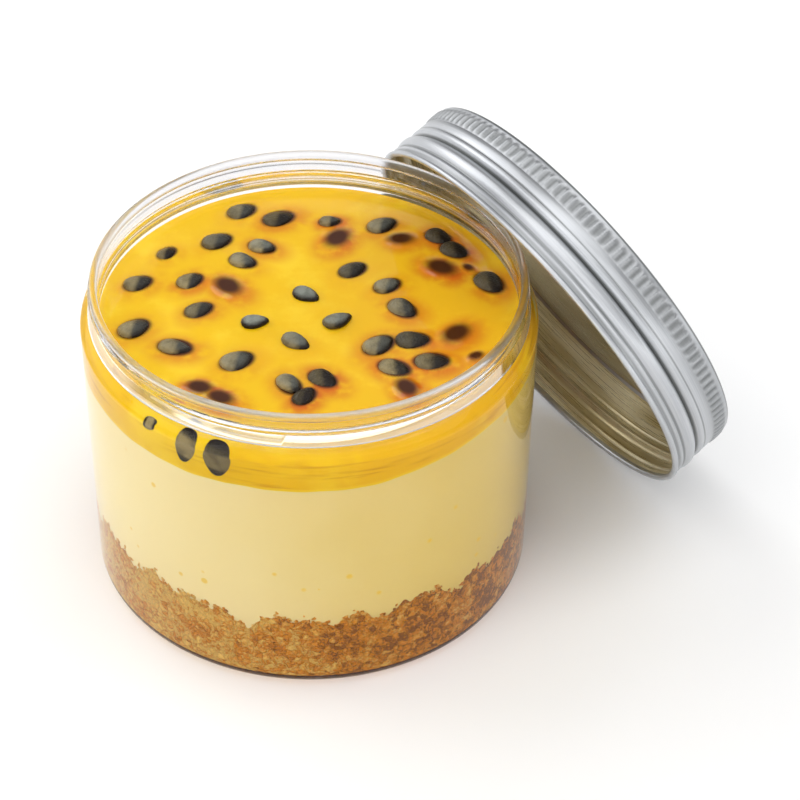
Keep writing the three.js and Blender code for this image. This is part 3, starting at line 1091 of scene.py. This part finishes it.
lid = spun("lid_shell", shell_outline(), lid_steps)
ridges, valley_shades = ridge_weights(places(lid))
push_out(lid, "grip", ridges, ridge_depth)
keep(lid, "valley_shade", valley_shades)
lid_spot = stand_lid(lid)
smooth(lid, 40)
lid.data.materials.append(bare_aluminium(lid_spot))
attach(lid, "root")
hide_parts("lid")


# ---- The lid's lacquer ----
# The inside of the lid has a coat of golden-brown food lacquer. It is a skin on the metal, from
# the middle of the plate down the inside of the skirt to the rolled rim.
lacquer = 0.08 * mm
lacquer_gold = shade(186, 172, 130)
lacquer_pale = shade(232, 226, 200)


def lacquer_outline():
    plate = lid_height - rim_bead - lid_sheet
    panel = plate - panel_depth
    inside = lid_wall - lid_sheet
    side = list(reversed(skirt(lid_sheet, 2)))

    def skin(thickness):
        return [
            (0, panel - thickness),
            (panel_radius - 0.5 * mm, panel - thickness),
            (panel_radius + 0.4 * mm, plate - thickness),
            *arc(inside - plate_edge, plate - plate_edge, plate_edge - thickness, 90, 0, 5),
            *[(radius - thickness, height) for radius, height in side],
        ]

    return skin(lacquer) + list(reversed(skin(-0.04 * mm)))


def food_lacquer(spot):
    material, tree, shader = finish_of("food_lacquer", lacquer_gold, 0.3, Metallic=0.6)
    place = lid_place(tree, spot)
    lines = rolling_lines(tree, place)
    drawn = stretched(tree, place, (0.25, 0.25, 3.0))
    streaks = spread(tree, grain(tree, drawn, 90.0, 2.0), 0.4, 0.65)
    share = maths(tree, "MULTIPLY", maths(tree, "ADD", lines, 0.4), streaks)
    plug(tree, shader.inputs["Base Color"], between(tree, share, lacquer_gold, lacquer_pale))
    plug(tree, shader.inputs["Roughness"], spread(tree, lines, 0.2, 0.8, 0.22, 0.4))
    plug(tree, shader.inputs["Coat Weight"], 0.4)
    plug(tree, shader.inputs["Coat Roughness"], 0.15)
    plug(tree, shader.inputs["Normal"], raised(tree, lines, 0.008 * mm))
    return material


lid_lacquer = spun("lid_lacquer", lacquer_outline(), 288)
stand_lid(lid_lacquer)
smooth(lid_lacquer, 40)
lid_lacquer.data.materials.append(food_lacquer(lid_spot))
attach(lid_lacquer, "root")


# ---- The table, the light and the camera ----
# A plain pale table that runs out of view, soft light from the left and behind as from a window,
# a weaker fill from the front, and the camera where the photograph was taken from.
table_drop = 0.1 * mm
table_size = 6.0
room_top = (0.4, 0.4, 0.4, 1)
room_low = (0.3, 0.3, 0.31, 1)
room_wall = (0.85, 0.85, 0.85, 1)
room_high_wall = (1.7, 1.7, 1.7, 1)
room_corner = (1.2, 1.2, 1.2, 1)
room_horizon = (2.4, 2.4, 2.4, 1)
room_behind = (0.95, 0.95, 0.95, 1)
light_target = (20 * mm, 0, 35 * mm)
camera_place = (18.37 * mm, -442.015 * mm, 408.944 * mm)
camera_tip = math.radians(49.98)
camera_roll = math.radians(0.785)
camera_lens = 126


def pale_table():
    bpy.ops.object.select_all(action="DESELECT")
    bpy.ops.mesh.primitive_plane_add(size=table_size, location=(0, 0, -table_drop))
    table = bpy.context.object
    table.name = "table"
    material, tree, shader = finish_of("pale_table", shade(250, 250, 250), 0.7)
    fibre = grain(tree, object_place(tree), 20.0, 5.0)
    plug(tree, shader.inputs["Base Color"], between(
        tree, fibre, shade(249, 249, 249), shade(253, 253, 253)))
    table.data.materials.append(material)
    return table


def soft_light(name, place, size, power):
    """A plain lamp of a size in metres and a power in watts, turned to the middle of the set."""
    lamp = bpy.data.lights.new(name, "AREA")
    lamp.shape, lamp.size, lamp.size_y, lamp.energy = "RECTANGLE", *size, power
    light = bpy.data.objects.new(name, lamp)
    light.location = place
    aim = Vector(light_target) - Vector(place)
    light.rotation_euler = aim.to_track_quat("-Z", "Y").to_euler()
    bpy.context.scene.collection.objects.link(light)


def facing(tree, x, y, x_share, y_share, start, end):
    """How far a direction in the room lies to one side of it, from 0 to 1."""
    towards = maths(tree, "MULTIPLY_ADD", x, x_share, maths(tree, "MULTIPLY", y, y_share))
    return spread(tree, towards, start, end)


def room():
    """The room's own light: a pale ceiling, a front wall that is brighter high up, a band of
    windows low in front on the right, soft light behind, and dim elsewhere."""
    world = bpy.data.worlds.new("room")
    world.use_nodes = True
    tree = world.node_tree
    x, y, up = parts_of(tree, node(tree, "TexCoord", {}).outputs["Generated"])
    colour = between(tree, spread(tree, up, 0.66, 0.8), room_low, room_top)
    front = facing(tree, x, y, -0.087, -1.0, 0.35, 0.6)
    front = maths(tree, "MULTIPLY", front, spread(tree, up, 0.7, 0.85, 1.0, 0.0))
    wall_colour = between(tree, spread(tree, up, 0.45, 0.6), room_wall, room_high_wall)
    colour = between(tree, front, colour, wall_colour)
    back_left = facing(tree, x, y, -0.8, 0.6, 0.7, 0.9)
    colour = between(tree, back_left, colour, room_corner)
    back_right = facing(tree, x, y, 0.8, 0.45, 0.3, 0.8)
    back_right = maths(tree, "MULTIPLY", back_right, spread(tree, y, -0.45, 0.0))
    colour = between(tree, back_right, colour, room_behind)
    low = facing(tree, x, y, 0.45, -1.0, 0.0, 0.14)
    low = maths(tree, "MULTIPLY", low, spread(tree, up, 0.1, 0.2, 1.0, 0.0))
    back = tree.nodes["Background"]
    plug(tree, back.inputs["Color"], between(tree, low, colour, room_horizon))
    plug(tree, back.inputs["Strength"], 1.0)
    bpy.context.scene.world = world


pale_table()
room()
soft_light("window", (-0.6, 0.4, 0.75), (0.9, 0.9), 3.7)
soft_light("ceiling_strip", (0.1, -0.2, 1.0), (1.5, 0.6), 4.3)
soft_light("left_window", (-0.75, -0.43, 0.5), (0.6, 0.6), 0.6)

camera = bpy.data.objects.new("camera", bpy.data.cameras.new("camera"))
camera.data.lens, camera.data.sensor_width = camera_lens, 36
camera.location = camera_place
camera.rotation_mode = "ZYX"
camera.rotation_euler = (camera_tip, 0, camera_roll)
bpy.context.scene.collection.objects.link(camera)
bpy.context.scene.camera = camera

bpy.context.scene.view_settings.view_transform = "Standard"
bpy.context.scene.cycles.use_denoising = True
